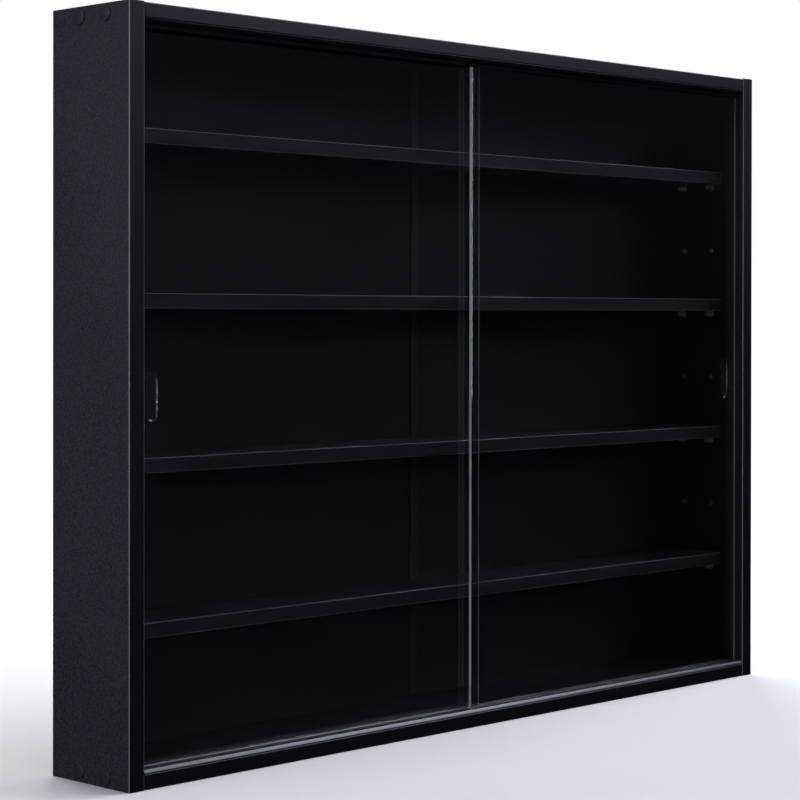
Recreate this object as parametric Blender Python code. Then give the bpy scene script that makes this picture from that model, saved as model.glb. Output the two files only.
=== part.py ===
# Shallow wall display cabinet: a box of black-faced boards with four adjustable
# shelves on metal pins, and two glass doors that slide past each other in
# double-groove plastic tracks.
#
# The cabinet stands along +Z and its doors face -Y, so +X is on the right of
# someone looking in. The origin is under the middle of its width and depth.

import math

import bmesh
import bpy
from mathutils import Matrix, Vector

MM = 0.001

# Carcase
CABINET_WIDTH = 800 * MM
CABINET_DEPTH = 95 * MM
CABINET_HEIGHT = 600 * MM
BOARD_THICKNESS = 15 * MM
FLUSH_STEP = 0.5 * MM           # the sides stand this far past the top and bottom panels
SEAT_GAP = 0.3 * MM             # between two pieces that touch

# Back
BACK_THICKNESS = 3 * MM
BACK_REBATE_WIDTH = 7 * MM      # how far the back panels reach into the sides
BACK_EDGE_INSET = 1 * MM        # back panels below the top and above the bottom of the sides
STRIP_WIDTH = 8 * MM
STRIP_WALL = 0.8 * MM

# Tracks, with the same cross-section sizes above and below
TRACK_SEAT_DEPTH = 3 * MM       # how deep each track is let into its panel
TRACK_BASE = 0.9 * MM
TRACK_NOSE = 7 * MM             # solid lip in front of the first groove's wall
TRACK_RIB = 1.5 * MM
TRACK_NOSE_RADIUS = 2.4 * MM
TOP_RIB_DROP = 3.5 * MM         # how far the top track's ribs hang below the top panel

# Sliding doors
GLASS_THICKNESS = 4 * MM
GLASS_GROOVE_PLAY = 0.5 * MM    # on each side of the glass in its groove
GLASS_SIDE_GAP = 0.6 * MM
GLASS_OVERLAP = 15 * MM
GLASS_LIFT = 2.4 * MM           # room above the glass for lifting it out of the bottom groove
GLASS_ARRIS = 0.4 * MM
PULL_LENGTH = 40 * MM
PULL_WIDTH = 12 * MM
PULL_DEPTH = 1.5 * MM
PULL_EDGE_DISTANCE = 19 * MM    # from the door's outer edge to the middle of the pull

# Shelves, their pins and the rows of pin holes
SHELF_COUNT = 4
SHELF_THICKNESS = 12 * MM
SHELF_TRACK_CLEARANCE = 6 * MM
SHELF_BACK_GAP = 0.5 * MM
SHELF_END_GAP = 1.8 * MM
HOLE_PITCH = 64 * MM
PIN_EDGE_DISTANCE = 14 * MM     # from a shelf's front and back edges to its pins
PIN_DIAMETER = 5 * MM
PIN_FIT = 0.2 * MM              # radial clearance of a pin in its hole
PIN_INSERT = 8 * MM
PIN_STUD = 8.5 * MM
PIN_COLLAR_DIAMETER = 7 * MM
PIN_COLLAR_THICKNESS = 1.1 * MM

# Carcase screws and their cover caps
SCREW_SPACING = 32 * MM
SCREW_LENGTH = 48 * MM
SCREW_DIAMETER = 6.8 * MM
SCREW_HEAD_DIAMETER = 10 * MM
SCREW_HEAD_HEIGHT = 3.5 * MM
SCREW_SOCKET_DIAMETER = 4.4 * MM
SCREW_SOCKET_DEPTH = 3.4 * MM
SCREW_FIT = 0.25 * MM
CAP_DIAMETER = 12.6 * MM
CAP_THICKNESS = 0.9 * MM
CAP_STEM_LENGTH = 2.4 * MM

# Wall hangers
HANGER_PLATE_THICKNESS = 1 * MM
HANGER_PLATE_WIDTH = 44 * MM
HANGER_EDGE_MARGIN = 2.5 * MM   # above and below the keyhole
HANGER_INSET = 70 * MM          # from the cabinet's outer side to the middle of a plate
HANGER_SCREW_SPACING = 30 * MM
HANGER_SCREW_DIAMETER = 3 * MM
HANGER_SCREW_HEAD = 5.6 * MM
HANGER_SCREW_HEAD_HEIGHT = 1.6 * MM
HANGER_SCREW_LENGTH = 14 * MM
KEYHOLE_RISE = 0.5 * MM         # the keyhole starts this far above the top panel's underside
KEYHOLE_HEAD_DIAMETER = 7.5 * MM
KEYHOLE_SLOT_WIDTH = 4.2 * MM
KEYHOLE_SLOT_LENGTH = 4 * MM
KEYHOLE_BACK_MARGIN = 0.3 * MM  # opening in the back panel around the keyhole

HOLE_SIDES = 16
ROUND_SIDES = 24
ARC_STEPS = 6
OVERCUT = 1 * MM                # how far a cutter reaches past the face it cuts

# Planes that several pieces share
FRONT = -CABINET_DEPTH / 2
REAR = CABINET_DEPTH / 2
OUTER_X = CABINET_WIDTH / 2
INNER_X = OUTER_X - BOARD_THICKNESS
TOP_FACE = CABINET_HEIGHT - FLUSH_STEP
TOP_UNDERSIDE = TOP_FACE - BOARD_THICKNESS
FLOOR_FACE = FLUSH_STEP + BOARD_THICKNESS
BACK_RECESS = max(HANGER_PLATE_THICKNESS, STRIP_WALL) + SEAT_GAP
BACK_REAR = REAR - BACK_RECESS
BACK_FRONT = BACK_REAR - BACK_THICKNESS
BOARD_REAR = BACK_FRONT - SEAT_GAP
SCREW_ROWS = (FLUSH_STEP + BOARD_THICKNESS / 2, TOP_FACE - BOARD_THICKNESS / 2)

# Grooves, counted from the front face
GROOVE_WIDTH = GLASS_THICKNESS + 2 * GLASS_GROOVE_PLAY
FRONT_GROOVE = FRONT + TRACK_NOSE + TRACK_RIB
REAR_GROOVE = FRONT_GROOVE + GROOVE_WIDTH + TRACK_RIB
TRACK_REAR = REAR_GROOVE + GROOVE_WIDTH + TRACK_RIB
BOTTOM_GROOVE_FLOOR = FLOOR_FACE - TRACK_SEAT_DEPTH + TRACK_BASE
TOP_GROOVE_CEILING = TOP_UNDERSIDE + TRACK_SEAT_DEPTH - TRACK_BASE
TRACK_HALF_LENGTH = INNER_X - SEAT_GAP

# Doors
GLASS_BOTTOM = BOTTOM_GROOVE_FLOOR + SEAT_GAP
GLASS_TOP = TOP_GROOVE_CEILING - GLASS_LIFT
GLASS_WIDTH = INNER_X - GLASS_SIDE_GAP + GLASS_OVERLAP / 2

# Shelves
SHELF_FRONT = TRACK_REAR + SHELF_TRACK_CLEARANCE
SHELF_REAR = BACK_FRONT - STRIP_WALL - SEAT_GAP - SHELF_BACK_GAP
PIN_COLUMNS = (SHELF_FRONT + PIN_EDGE_DISTANCE, SHELF_REAR - PIN_EDGE_DISTANCE)
MIDDLE_HEIGHT = CABINET_HEIGHT / 2
HOLE_ROW_COUNT = 2 * SHELF_COUNT - 1
HOLE_ROWS = [MIDDLE_HEIGHT + HOLE_PITCH * (row - SHELF_COUNT + 1) for row in range(HOLE_ROW_COUNT)]
PIN_ROWS = HOLE_ROWS[::-2]      # every second row, from the top shelf down

# Screws sit in the middle of the panels' depth
SCREW_MIDDLE = (FRONT + BOARD_REAR) / 2
SCREW_COLUMNS = (SCREW_MIDDLE - SCREW_SPACING / 2, SCREW_MIDDLE + SCREW_SPACING / 2)

HANGER_X = OUTER_X - HANGER_INSET
HANGER_SCREW_Z = TOP_FACE - BOARD_THICKNESS / 2
KEYHOLE_Z = TOP_UNDERSIDE + KEYHOLE_RISE + KEYHOLE_HEAD_DIAMETER / 2

# A turned piece is made along +Z; these turn that axis towards a side
TOWARDS = {
    "+X": Matrix.Rotation(math.radians(90), 4, "Y"),
    "-X": Matrix.Rotation(math.radians(-90), 4, "Y"),
    "-Y": Matrix.Rotation(math.radians(90), 4, "X"),
    "+Y": Matrix.Rotation(math.radians(-90), 4, "X"),
}


def clear_scene():
    for old in list(bpy.data.objects):
        bpy.data.objects.remove(old, do_unlink=True)


def make_material(name, color, roughness, metallic=0.0, transmission=0.0):
    material = bpy.data.materials.new(name)
    material.use_nodes = True
    shader = material.node_tree.nodes["Principled BSDF"]
    shader.inputs["Base Color"].default_value = (*color, 1.0)
    shader.inputs["Roughness"].default_value = roughness
    shader.inputs["Metallic"].default_value = metallic
    shader.inputs["Transmission Weight"].default_value = transmission
    return material


def make_object(name, bm, material=None, location=(0, 0, 0), rotation=None):
    bmesh.ops.recalc_face_normals(bm, faces=bm.faces)
    mesh = bpy.data.meshes.new(name)
    bm.to_mesh(mesh)
    bm.free()
    piece = bpy.data.objects.new(name, mesh)
    piece.location = location
    if rotation is not None:
        piece.rotation_euler = rotation.to_euler()
    if material is not None:
        mesh.materials.append(material)
    bpy.context.scene.collection.objects.link(piece)
    return piece


def add_box(bm, low, high):
    size = Vector(high) - Vector(low)
    middle = (Vector(high) + Vector(low)) / 2
    place = Matrix.Translation(middle) @ Matrix.Diagonal((*size, 1))
    bmesh.ops.create_cube(bm, size=1, matrix=place)


def box_piece(name, low, high, material):
    """A board whose object sits at the middle of its own box."""
    middle = (Vector(high) + Vector(low)) / 2
    bm = bmesh.new()
    add_box(bm, Vector(low) - middle, Vector(high) - middle)
    return make_object(name, bm, material, middle)


def add_extrusion(bm, outline, axis, start, end):
    """Extrude a closed outline along a world axis.

    The outline's two numbers are the two other coordinates, in X, Y, Z order."""
    def point(a, b, along):
        values = [a, b]
        values.insert("XYZ".index(axis), along)
        return Vector(values)

    verts = [bm.verts.new(point(a, b, start)) for a, b in outline]
    face = bm.faces.new(verts)
    grown = bmesh.ops.extrude_face_region(bm, geom=[face])
    moved = [item for item in grown["geom"] if isinstance(item, bmesh.types.BMVert)]
    bmesh.ops.translate(bm, verts=moved, vec=point(0, 0, end - start))


def add_turned(bm, profile, sides, place):
    """Spin a (radius, height) profile that starts and ends on the +Z axis."""
    spun = bmesh.new()
    verts = [spun.verts.new((radius, 0, height)) for radius, height in profile]
    edges = [spun.edges.new(pair) for pair in zip(verts, verts[1:])]
    bmesh.ops.spin(spun, geom=verts + edges, cent=(0, 0, 0), axis=(0, 0, 1),
                   angle=math.tau, steps=sides, use_merge=True)
    bmesh.ops.remove_doubles(spun, verts=spun.verts, dist=0.000001)
    bmesh.ops.recalc_face_normals(spun, faces=spun.faces)
    spun.transform(place)
    made = bpy.data.meshes.new("turned")
    spun.to_mesh(made)
    spun.free()
    bm.from_mesh(made)
    bpy.data.meshes.remove(made)


def turned_piece(name, profile, direction, location, material, sides=ROUND_SIDES):
    bm = bmesh.new()
    add_turned(bm, profile, sides, Matrix.Identity(4))
    piece = make_object(name, bm, material, location, TOWARDS[direction])
    piece.data.shade_smooth()
    piece.data.set_sharp_from_angle(angle=math.radians(30))
    return piece


def place_at(location, direction):
    return Matrix.Translation(location) @ TOWARDS[direction]


def cut(piece, bm):
    """Take the shapes in bm, given in world coordinates, out of a piece."""
    cutter = make_object(piece.name + "_cutter", bm)
    cutter.hide_render = True
    cutter.display_type = "WIRE"
    boolean = piece.modifiers.new("cut", "BOOLEAN")
    boolean.operation = "DIFFERENCE"
    boolean.solver = "EXACT"
    boolean.object = cutter


def arc(center_a, center_b, radius, start_deg, end_deg, steps=ARC_STEPS):
    """Points along an arc, both ends included."""
    points = []
    for step in range(steps + 1):
        angle = math.radians(start_deg + (end_deg - start_deg) * step / steps)
        points.append((center_a + radius * math.cos(angle), center_b + radius * math.sin(angle)))
    return points


# Profiles of the round pieces, as (radius, height) with the height running inwards

def screw_profile(grow=0.0):
    """The outside of a carcase screw, from its head face to its tip."""
    head = SCREW_HEAD_DIAMETER / 2 + grow
    shank = SCREW_DIAMETER / 2 + grow
    tip = SCREW_LENGTH + grow
    cone_start = SCREW_HEAD_HEIGHT / 3
    return [(head, cone_start), (shank, SCREW_HEAD_HEIGHT + grow),
            (shank, tip - shank / 2), (shank / 2, tip), (0, tip)]


def whole_screw_profile():
    socket = SCREW_SOCKET_DIAMETER / 2
    socket_bottom = [(0, SCREW_SOCKET_DEPTH + socket / 2), (socket, SCREW_SOCKET_DEPTH)]
    head_face = [(socket, SEAT_GAP), (SCREW_HEAD_DIAMETER / 2, SEAT_GAP)]
    return socket_bottom + head_face + screw_profile()


def screw_hole_profile():
    mouth = SCREW_HEAD_DIAMETER / 2 + SCREW_FIT
    return [(0, -OVERCUT), (mouth, -OVERCUT)] + screw_profile(SCREW_FIT)


def cap_profile():
    """A domed disc on the outside of the board, with a stem in the screw's socket."""
    radius = CAP_DIAMETER / 2
    stem = SCREW_SOCKET_DIAMETER / 2 - SCREW_FIT
    crown = CAP_THICKNESS + SEAT_GAP
    rim = CAP_THICKNESS / 2
    return [(0, -crown), (radius * 0.7, -crown + CAP_THICKNESS * 0.08),
            (radius - rim * 0.35, -crown + CAP_THICKNESS * 0.3), (radius, -crown + rim),
            (radius, -SEAT_GAP), (stem, -SEAT_GAP), (stem, CAP_STEM_LENGTH), (0, CAP_STEM_LENGTH)]


def pin_profile():
    """A shelf pin: the insert in the board, a collar against it, then the stud."""
    insert = PIN_DIAMETER / 2 - PIN_FIT
    stud = PIN_DIAMETER / 2
    collar_end = SEAT_GAP + PIN_COLLAR_THICKNESS
    end = collar_end + PIN_STUD
    chamfer = stud / 5
    return [(0, -PIN_INSERT), (insert - chamfer, -PIN_INSERT), (insert, -PIN_INSERT + chamfer),
            (insert, SEAT_GAP), (PIN_COLLAR_DIAMETER / 2, SEAT_GAP),
            (PIN_COLLAR_DIAMETER / 2, collar_end), (stud, collar_end),
            (stud, end - chamfer), (stud - chamfer, end), (0, end)]


def pin_hole_profile():
    radius = PIN_DIAMETER / 2
    bottom = -PIN_INSERT - SEAT_GAP
    return [(0, bottom), (radius, bottom), (radius, OVERCUT), (0, OVERCUT)]


def hanger_screw_profile(grow=0.0, overcut=0.0):
    """A countersunk wood screw, flush with the hanger plate."""
    head = HANGER_SCREW_HEAD / 2 + grow
    shank = HANGER_SCREW_DIAMETER / 2 + grow
    tip = HANGER_SCREW_LENGTH + grow
    mouth = [(0, -overcut), (head, -overcut), (head, 0)] if overcut else [(0, 0), (head, 0)]
    return mouth + [(shank, HANGER_SCREW_HEAD_HEIGHT + grow), (shank, tip - shank), (0, tip)]


# Outlines

def side_outline(sign):
    """Plan view of a side panel, with the rebate for the back panels."""
    outer = sign * OUTER_X
    inner = sign * INNER_X
    rebate = sign * (INNER_X + BACK_REBATE_WIDTH + SEAT_GAP)
    return [(outer, FRONT), (inner, FRONT), (inner, BACK_FRONT - SEAT_GAP),
            (rebate, BACK_FRONT - SEAT_GAP), (rebate, REAR), (outer, REAR)]


def panel_outline(inner_face, outer_face, up):
    """End view of the top or bottom panel, with the seat for its track."""
    seat = inner_face - up * (TRACK_SEAT_DEPTH + SEAT_GAP)
    seat_rear = TRACK_REAR + SEAT_GAP
    return [(FRONT, outer_face), (FRONT, seat), (seat_rear, seat), (seat_rear, inner_face),
            (BOARD_REAR, inner_face), (BOARD_REAR, outer_face)]


def track_outline(inner_face, rib_end, up):
    """End view of a track; up is 1 for ribs that point up, -1 for ribs that hang down."""
    seat = inner_face - up * TRACK_SEAT_DEPTH
    floor = seat + up * TRACK_BASE
    tip_radius = TRACK_RIB / 2
    tip_center = rib_end - up * tip_radius
    tip_arc = 90 * up
    nose = arc(FRONT + TRACK_NOSE_RADIUS, inner_face - up * TRACK_NOSE_RADIUS,
               TRACK_NOSE_RADIUS, 180, 180 - tip_arc)
    outline = [(FRONT, seat)] + nose
    walls = (FRONT_GROOVE - TRACK_RIB, REAR_GROOVE - TRACK_RIB, TRACK_REAR - TRACK_RIB)
    for wall in walls:
        if wall == walls[0]:
            outline.append((wall, inner_face))
        else:
            outline.append((wall, floor))
        outline += arc(wall + tip_radius, tip_center, tip_radius, 180, 180 - 2 * tip_arc)
        if wall == walls[-1]:
            outline.append((wall + TRACK_RIB, seat))
        else:
            outline.append((wall + TRACK_RIB, floor))
    return outline


def strip_outline():
    """Plan view of the H-shaped strip that joins the two back panels."""
    half = STRIP_WIDTH / 2
    web = STRIP_WALL / 2
    front_inner = BACK_FRONT - SEAT_GAP
    rear_inner = BACK_REAR + SEAT_GAP
    front_outer = front_inner - STRIP_WALL
    rear_outer = REAR
    return [(-half, front_outer), (half, front_outer), (half, front_inner), (web, front_inner),
            (web, rear_inner), (half, rear_inner), (half, rear_outer), (-half, rear_outer),
            (-half, rear_inner), (-web, rear_inner), (-web, front_inner), (-half, front_inner)]


def keyhole_outline(middle_x):
    """Round opening at the bottom, with a narrower slot with a round end above it."""
    head = KEYHOLE_HEAD_DIAMETER / 2
    slot = KEYHOLE_SLOT_WIDTH / 2
    side_angle = math.degrees(math.acos(slot / head))
    slot_top = KEYHOLE_Z + KEYHOLE_SLOT_LENGTH
    round_end = arc(middle_x, KEYHOLE_Z, head, side_angle, -180 - side_angle, 3 * ARC_STEPS)
    return round_end + arc(middle_x, slot_top, slot, 180, 0)


# Pieces

def make_sides(material):
    for label, sign, inwards in (("left", -1, "+X"), ("right", 1, "-X")):
        bm = bmesh.new()
        add_extrusion(bm, side_outline(sign), "Z", 0, CABINET_HEIGHT)
        side = make_object("side_panel_" + label, bm, material)
        holes = bmesh.new()
        for column in PIN_COLUMNS:
            for row in HOLE_ROWS:
                place = place_at((sign * INNER_X, column, row), inwards)
                add_turned(holes, pin_hole_profile(), HOLE_SIDES, place)
        for column in SCREW_COLUMNS:
            for row in SCREW_ROWS:
                place = place_at((sign * OUTER_X, column, row), inwards)
                add_turned(holes, screw_hole_profile(), HOLE_SIDES, place)
        cut(side, holes)


def make_top_and_bottom(material):
    half = INNER_X - SEAT_GAP
    panels = (("top_panel", TOP_UNDERSIDE, TOP_FACE, -1, SCREW_ROWS[1]),
              ("bottom_panel", FLOOR_FACE, FLUSH_STEP, 1, SCREW_ROWS[0]))
    for name, inner_face, outer_face, up, row in panels:
        bm = bmesh.new()
        add_extrusion(bm, panel_outline(inner_face, outer_face, up), "X", -half, half)
        panel = make_object(name, bm, material)
        holes = bmesh.new()
        for sign, inwards in ((-1, "+X"), (1, "-X")):
            for column in SCREW_COLUMNS:
                place = place_at((sign * OUTER_X, column, row), inwards)
                add_turned(holes, screw_hole_profile(), HOLE_SIDES, place)
        if name == "top_panel":
            add_hanger_screw_holes(holes, (-1, 1))
        cut(panel, holes)


def hanger_screw_places(sign):
    """The two screws of one hanger plate, the outer one first."""
    for label, offset in (("outer", 1), ("inner", -1)):
        yield label, (sign * (HANGER_X + offset * HANGER_SCREW_SPACING / 2), REAR, HANGER_SCREW_Z)


def add_hanger_screw_holes(bm, signs):
    profile = hanger_screw_profile(SCREW_FIT, OVERCUT)
    for sign in signs:
        for _, location in hanger_screw_places(sign):
            add_turned(bm, profile, HOLE_SIDES, place_at(location, "-Y"))


def make_back(panel_material, strip_material):
    outer = INNER_X + BACK_REBATE_WIDTH
    inner = STRIP_WALL / 2 + SEAT_GAP
    bottom = FLUSH_STEP + BACK_EDGE_INSET
    top = TOP_FACE - BACK_EDGE_INSET
    half_opening = KEYHOLE_HEAD_DIAMETER / 2 + KEYHOLE_BACK_MARGIN
    opening_top = KEYHOLE_Z + KEYHOLE_SLOT_LENGTH + half_opening
    for label, sign in (("left", -1), ("right", 1)):
        low_x, high_x = sorted((sign * outer, sign * inner))
        low = (low_x, BACK_FRONT, bottom)
        high = (high_x, BACK_REAR, top)
        panel = box_piece("back_panel_" + label, low, high, panel_material)
        holes = bmesh.new()
        middle = sign * HANGER_X
        add_box(holes, (middle - half_opening, BACK_FRONT - OVERCUT, KEYHOLE_Z - half_opening),
                (middle + half_opening, BACK_REAR + OVERCUT, opening_top))
        add_hanger_screw_holes(holes, (sign,))
        cut(panel, holes)
    strip = bmesh.new()
    add_extrusion(strip, strip_outline(), "Z", FLOOR_FACE + SEAT_GAP, TOP_UNDERSIDE - SEAT_GAP)
    make_object("back_joining_strip", strip, strip_material)


def make_tracks(material):
    tracks = (("bottom_track", FLOOR_FACE, FLOOR_FACE, 1),
              ("top_track", TOP_UNDERSIDE, TOP_UNDERSIDE - TOP_RIB_DROP, -1))
    for name, inner_face, rib_end, up in tracks:
        bm = bmesh.new()
        outline = track_outline(inner_face, rib_end, up)
        add_extrusion(bm, outline, "X", -TRACK_HALF_LENGTH, TRACK_HALF_LENGTH)
        make_object(name, bm, material)


def pull_cutter(middle_x, face_y, middle_z):
    """A long round-ended tool that sinks PULL_DEPTH into the face of the glass."""
    half_width = PULL_WIDTH / 2
    radius = (half_width ** 2 + PULL_DEPTH ** 2) / (2 * PULL_DEPTH)
    half_straight = (PULL_LENGTH - PULL_WIDTH) / 2
    steps = 2 * ARC_STEPS
    upper = arc(0, half_straight, radius, 90, 0, steps)
    lower = arc(0, -half_straight, radius, 0, -90, steps)
    bm = bmesh.new()
    middle = (middle_x, face_y - radius + PULL_DEPTH, middle_z)
    add_turned(bm, upper + lower, 2 * ROUND_SIDES, Matrix.Translation(middle))
    return bm


def make_doors(material):
    """The left door runs in the rear groove and the right door in the front one."""
    middle_z = (GLASS_BOTTOM + GLASS_TOP) / 2
    doors = (("glass_door_left", -1, REAR_GROOVE), ("glass_door_right", 1, FRONT_GROOVE))
    for name, sign, groove in doors:
        face_y = groove + GLASS_GROOVE_PLAY
        outer = sign * (INNER_X - GLASS_SIDE_GAP)
        middle = (outer - sign * GLASS_WIDTH / 2, face_y + GLASS_THICKNESS / 2, middle_z)
        half = Vector((GLASS_WIDTH, GLASS_THICKNESS, GLASS_TOP - GLASS_BOTTOM)) / 2
        bm = bmesh.new()
        add_box(bm, -half, half)
        bmesh.ops.bevel(bm, geom=bm.edges[:], offset=GLASS_ARRIS, offset_type="OFFSET",
                        segments=1, affect="EDGES")
        door = make_object(name, bm, material, middle)
        cut(door, pull_cutter(outer - sign * PULL_EDGE_DISTANCE, face_y, middle_z))


def make_shelves(material):
    half = INNER_X - SHELF_END_GAP
    for number, row in enumerate(PIN_ROWS, start=1):
        underside = row + PIN_DIAMETER / 2 + SEAT_GAP
        low = (-half, SHELF_FRONT, underside)
        high = (half, SHELF_REAR, underside + SHELF_THICKNESS)
        box_piece("shelf_" + str(number), low, high, material)


def make_shelf_pins(material):
    for number, row in enumerate(PIN_ROWS, start=1):
        for side, sign, inwards in (("left", -1, "+X"), ("right", 1, "-X")):
            for depth, column in zip(("front", "rear"), PIN_COLUMNS):
                name = f"shelf_pin_{number}_{side}_{depth}"
                location = (sign * INNER_X, column, row)
                turned_piece(name, pin_profile(), inwards, location, material, HOLE_SIDES)


def make_carcase_screws(screw_material, cap_material):
    for level, row in zip(("bottom", "top"), SCREW_ROWS):
        for side, sign, inwards in (("left", -1, "+X"), ("right", 1, "-X")):
            for depth, column in zip(("front", "rear"), SCREW_COLUMNS):
                corner = f"{level}_{side}_{depth}"
                location = (sign * OUTER_X, column, row)
                turned_piece("carcase_screw_" + corner, whole_screw_profile(), inwards,
                             location, screw_material, HOLE_SIDES)
                turned_piece("screw_cap_" + corner, cap_profile(), inwards,
                             location, cap_material)


def make_hangers(plate_material, screw_material):
    top = KEYHOLE_Z + KEYHOLE_SLOT_LENGTH + KEYHOLE_SLOT_WIDTH / 2 + HANGER_EDGE_MARGIN
    bottom = KEYHOLE_Z - KEYHOLE_HEAD_DIAMETER / 2 - HANGER_EDGE_MARGIN
    half = HANGER_PLATE_WIDTH / 2
    for side, sign in (("left", -1), ("right", 1)):
        middle = sign * HANGER_X
        low = (middle - half, REAR - HANGER_PLATE_THICKNESS, bottom)
        high = (middle + half, REAR, top)
        plate = box_piece("hanger_plate_" + side, low, high, plate_material)
        holes = bmesh.new()
        add_extrusion(holes, keyhole_outline(middle), "Y",
                      REAR - HANGER_PLATE_THICKNESS - OVERCUT, REAR + OVERCUT)
        add_hanger_screw_holes(holes, (sign,))
        cut(plate, holes)
        for label, location in hanger_screw_places(sign):
            turned_piece(f"hanger_screw_{side}_{label}", hanger_screw_profile(), "-Y",
                         location, screw_material, HOLE_SIDES)


def build():
    clear_scene()
    melamine = make_material("black_melamine", (0.020, 0.020, 0.024), 0.45)
    hardboard = make_material("lacquered_hardboard", (0.012, 0.012, 0.014), 0.55)
    track_plastic = make_material("track_plastic", (0.025, 0.025, 0.028), 0.25)
    cap_plastic = make_material("cap_plastic", (0.022, 0.022, 0.026), 0.35)
    glass = make_material("clear_glass", (0.85, 0.95, 0.92), 0.02, transmission=1.0)
    nickel = make_material("nickel_plated_steel", (0.62, 0.60, 0.57), 0.25, metallic=1.0)
    zinc = make_material("zinc_plated_steel", (0.55, 0.56, 0.58), 0.35, metallic=1.0)

    make_sides(melamine)
    make_top_and_bottom(melamine)
    make_back(hardboard, track_plastic)
    make_tracks(track_plastic)
    make_doors(glass)
    make_shelves(melamine)
    make_shelf_pins(nickel)
    make_carcase_screws(zinc, cap_plastic)
    make_hangers(zinc, zinc)


build()
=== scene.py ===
import math

import bmesh
import bpy
from mathutils import Matrix, Vector


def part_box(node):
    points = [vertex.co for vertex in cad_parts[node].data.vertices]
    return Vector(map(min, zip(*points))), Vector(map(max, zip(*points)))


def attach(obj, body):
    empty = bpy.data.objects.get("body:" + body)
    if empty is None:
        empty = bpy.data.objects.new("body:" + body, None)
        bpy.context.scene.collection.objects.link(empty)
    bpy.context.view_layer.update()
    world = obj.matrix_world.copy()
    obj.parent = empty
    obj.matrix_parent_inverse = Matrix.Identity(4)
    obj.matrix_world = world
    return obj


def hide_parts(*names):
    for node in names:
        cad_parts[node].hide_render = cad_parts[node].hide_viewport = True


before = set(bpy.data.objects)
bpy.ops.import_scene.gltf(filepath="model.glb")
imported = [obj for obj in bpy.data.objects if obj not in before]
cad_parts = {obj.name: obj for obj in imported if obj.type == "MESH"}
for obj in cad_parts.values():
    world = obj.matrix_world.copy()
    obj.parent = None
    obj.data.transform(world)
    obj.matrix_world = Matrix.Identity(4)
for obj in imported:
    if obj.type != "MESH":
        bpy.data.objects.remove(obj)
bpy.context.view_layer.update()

# Black display cabinet with two sliding glass doors: the looks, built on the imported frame.
# Everything is in metres, Z up, with the doors towards -Y.

mm = 0.001
print("frame loaded with", len(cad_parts), "nodes")


# small tools shared by all pieces

def linear(hexCode):
    values = []
    for place in (1, 3, 5):
        level = int(hexCode[place:place + 2], 16) / 255
        values.append(level / 12.92 if level <= 0.04045 else ((level + 0.055) / 1.055) ** 2.4)
    return (*values, 1.0)


def perMetre(sizeInMm):
    return 1000 / sizeInMm        # texture scale that gives features of this size on Object coordinates


def addNode(tree, kind, inputs=None, stops=None, **settings):
    node = tree.nodes.new(kind)
    for name, value in settings.items():
        setattr(node, name, value)
    for key, value in (inputs or {}).items():
        if isinstance(value, bpy.types.NodeSocket):
            tree.links.new(value, node.inputs[key])
        else:
            node.inputs[key].default_value = value
    for number, (place, hexCode) in enumerate(stops or []):
        stop = node.color_ramp.elements[number] if number < 2 else node.color_ramp.elements.new(place)
        stop.position = place
        stop.color = linear(hexCode)
    return node


def startMaterial(name, stretch=(1, 1, 1)):
    # returns the material, its tree, a stretched Object coordinate and the shader
    material = bpy.data.materials.new(name)
    material.use_nodes = True
    tree = material.node_tree
    tree.nodes.clear()
    where = addNode(tree, "ShaderNodeTexCoord")
    mapping = addNode(tree, "ShaderNodeMapping", {"Vector": where.outputs["Object"], "Scale": stretch})
    shader = addNode(tree, "ShaderNodeBsdfPrincipled")
    addNode(tree, "ShaderNodeOutputMaterial", {"Surface": shader.outputs["BSDF"]})
    return material, tree, mapping.outputs["Vector"], shader


def outputOf(tree):
    return next(node for node in tree.nodes if node.bl_idname == "ShaderNodeOutputMaterial")


def feedShader(tree, shader, colour, rough, bump):
    for name, source in (("Base Color", colour), ("Roughness", rough), ("Normal", bump)):
        if source is not None:
            tree.links.new(source, shader.inputs[name])


def grainedMaterial(name, stretch, grain, detail, colours, roughness, bumpStrength, bumpDepth):
    # one noise moves the colour, the gloss and the surface together; grain is its size in millimetres
    material, tree, where, shader = startMaterial(name, stretch)
    noise = addNode(tree, "ShaderNodeTexNoise", {"Vector": where, "Scale": perMetre(grain), "Detail": detail})
    colour = addNode(tree, "ShaderNodeValToRGB", {
        "Fac": noise.outputs["Fac"]}, stops=[(0.3, colours[0]), (0.7, colours[1])])
    rough = addNode(tree, "ShaderNodeMapRange", {
        "Value": noise.outputs["Fac"], "To Min": roughness[0], "To Max": roughness[1]})
    bump = addNode(tree, "ShaderNodeBump", {
        "Height": noise.outputs["Fac"], "Strength": bumpStrength, "Distance": bumpDepth})
    feedShader(tree, shader, colour.outputs["Color"], rough.outputs[0], bump.outputs[0])
    return material, shader


def arcPoints(centre, radius, start, end, steps=6):
    points = []
    for step in range(steps + 1):
        angle = math.radians(start + (end - start) * step / steps)
        points.append((centre[0] + radius * math.cos(angle), centre[1] + radius * math.sin(angle)))
    return points


def addBox(bm, low, high):
    size = Vector(high) - Vector(low)
    middle = (Vector(high) + Vector(low)) / 2
    bmesh.ops.create_cube(bm, size=1, matrix=Matrix.Translation(middle) @ Matrix.Diagonal((*size, 1)))


def addExtrusion(bm, outline, axis, start, end):
    # outline gives the two other coordinates, in X, Y, Z order
    def place(pair, along):
        values = list(pair)
        values.insert("XYZ".index(axis), along)
        return Vector(values)

    loop = [bm.verts.new(place(pair, start)) for pair in outline]
    grown = bmesh.ops.extrude_face_region(bm, geom=[bm.faces.new(loop)])
    moved = [item for item in grown["geom"] if isinstance(item, bmesh.types.BMVert)]
    bmesh.ops.translate(bm, verts=moved, vec=place((0, 0), end - start))


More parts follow.
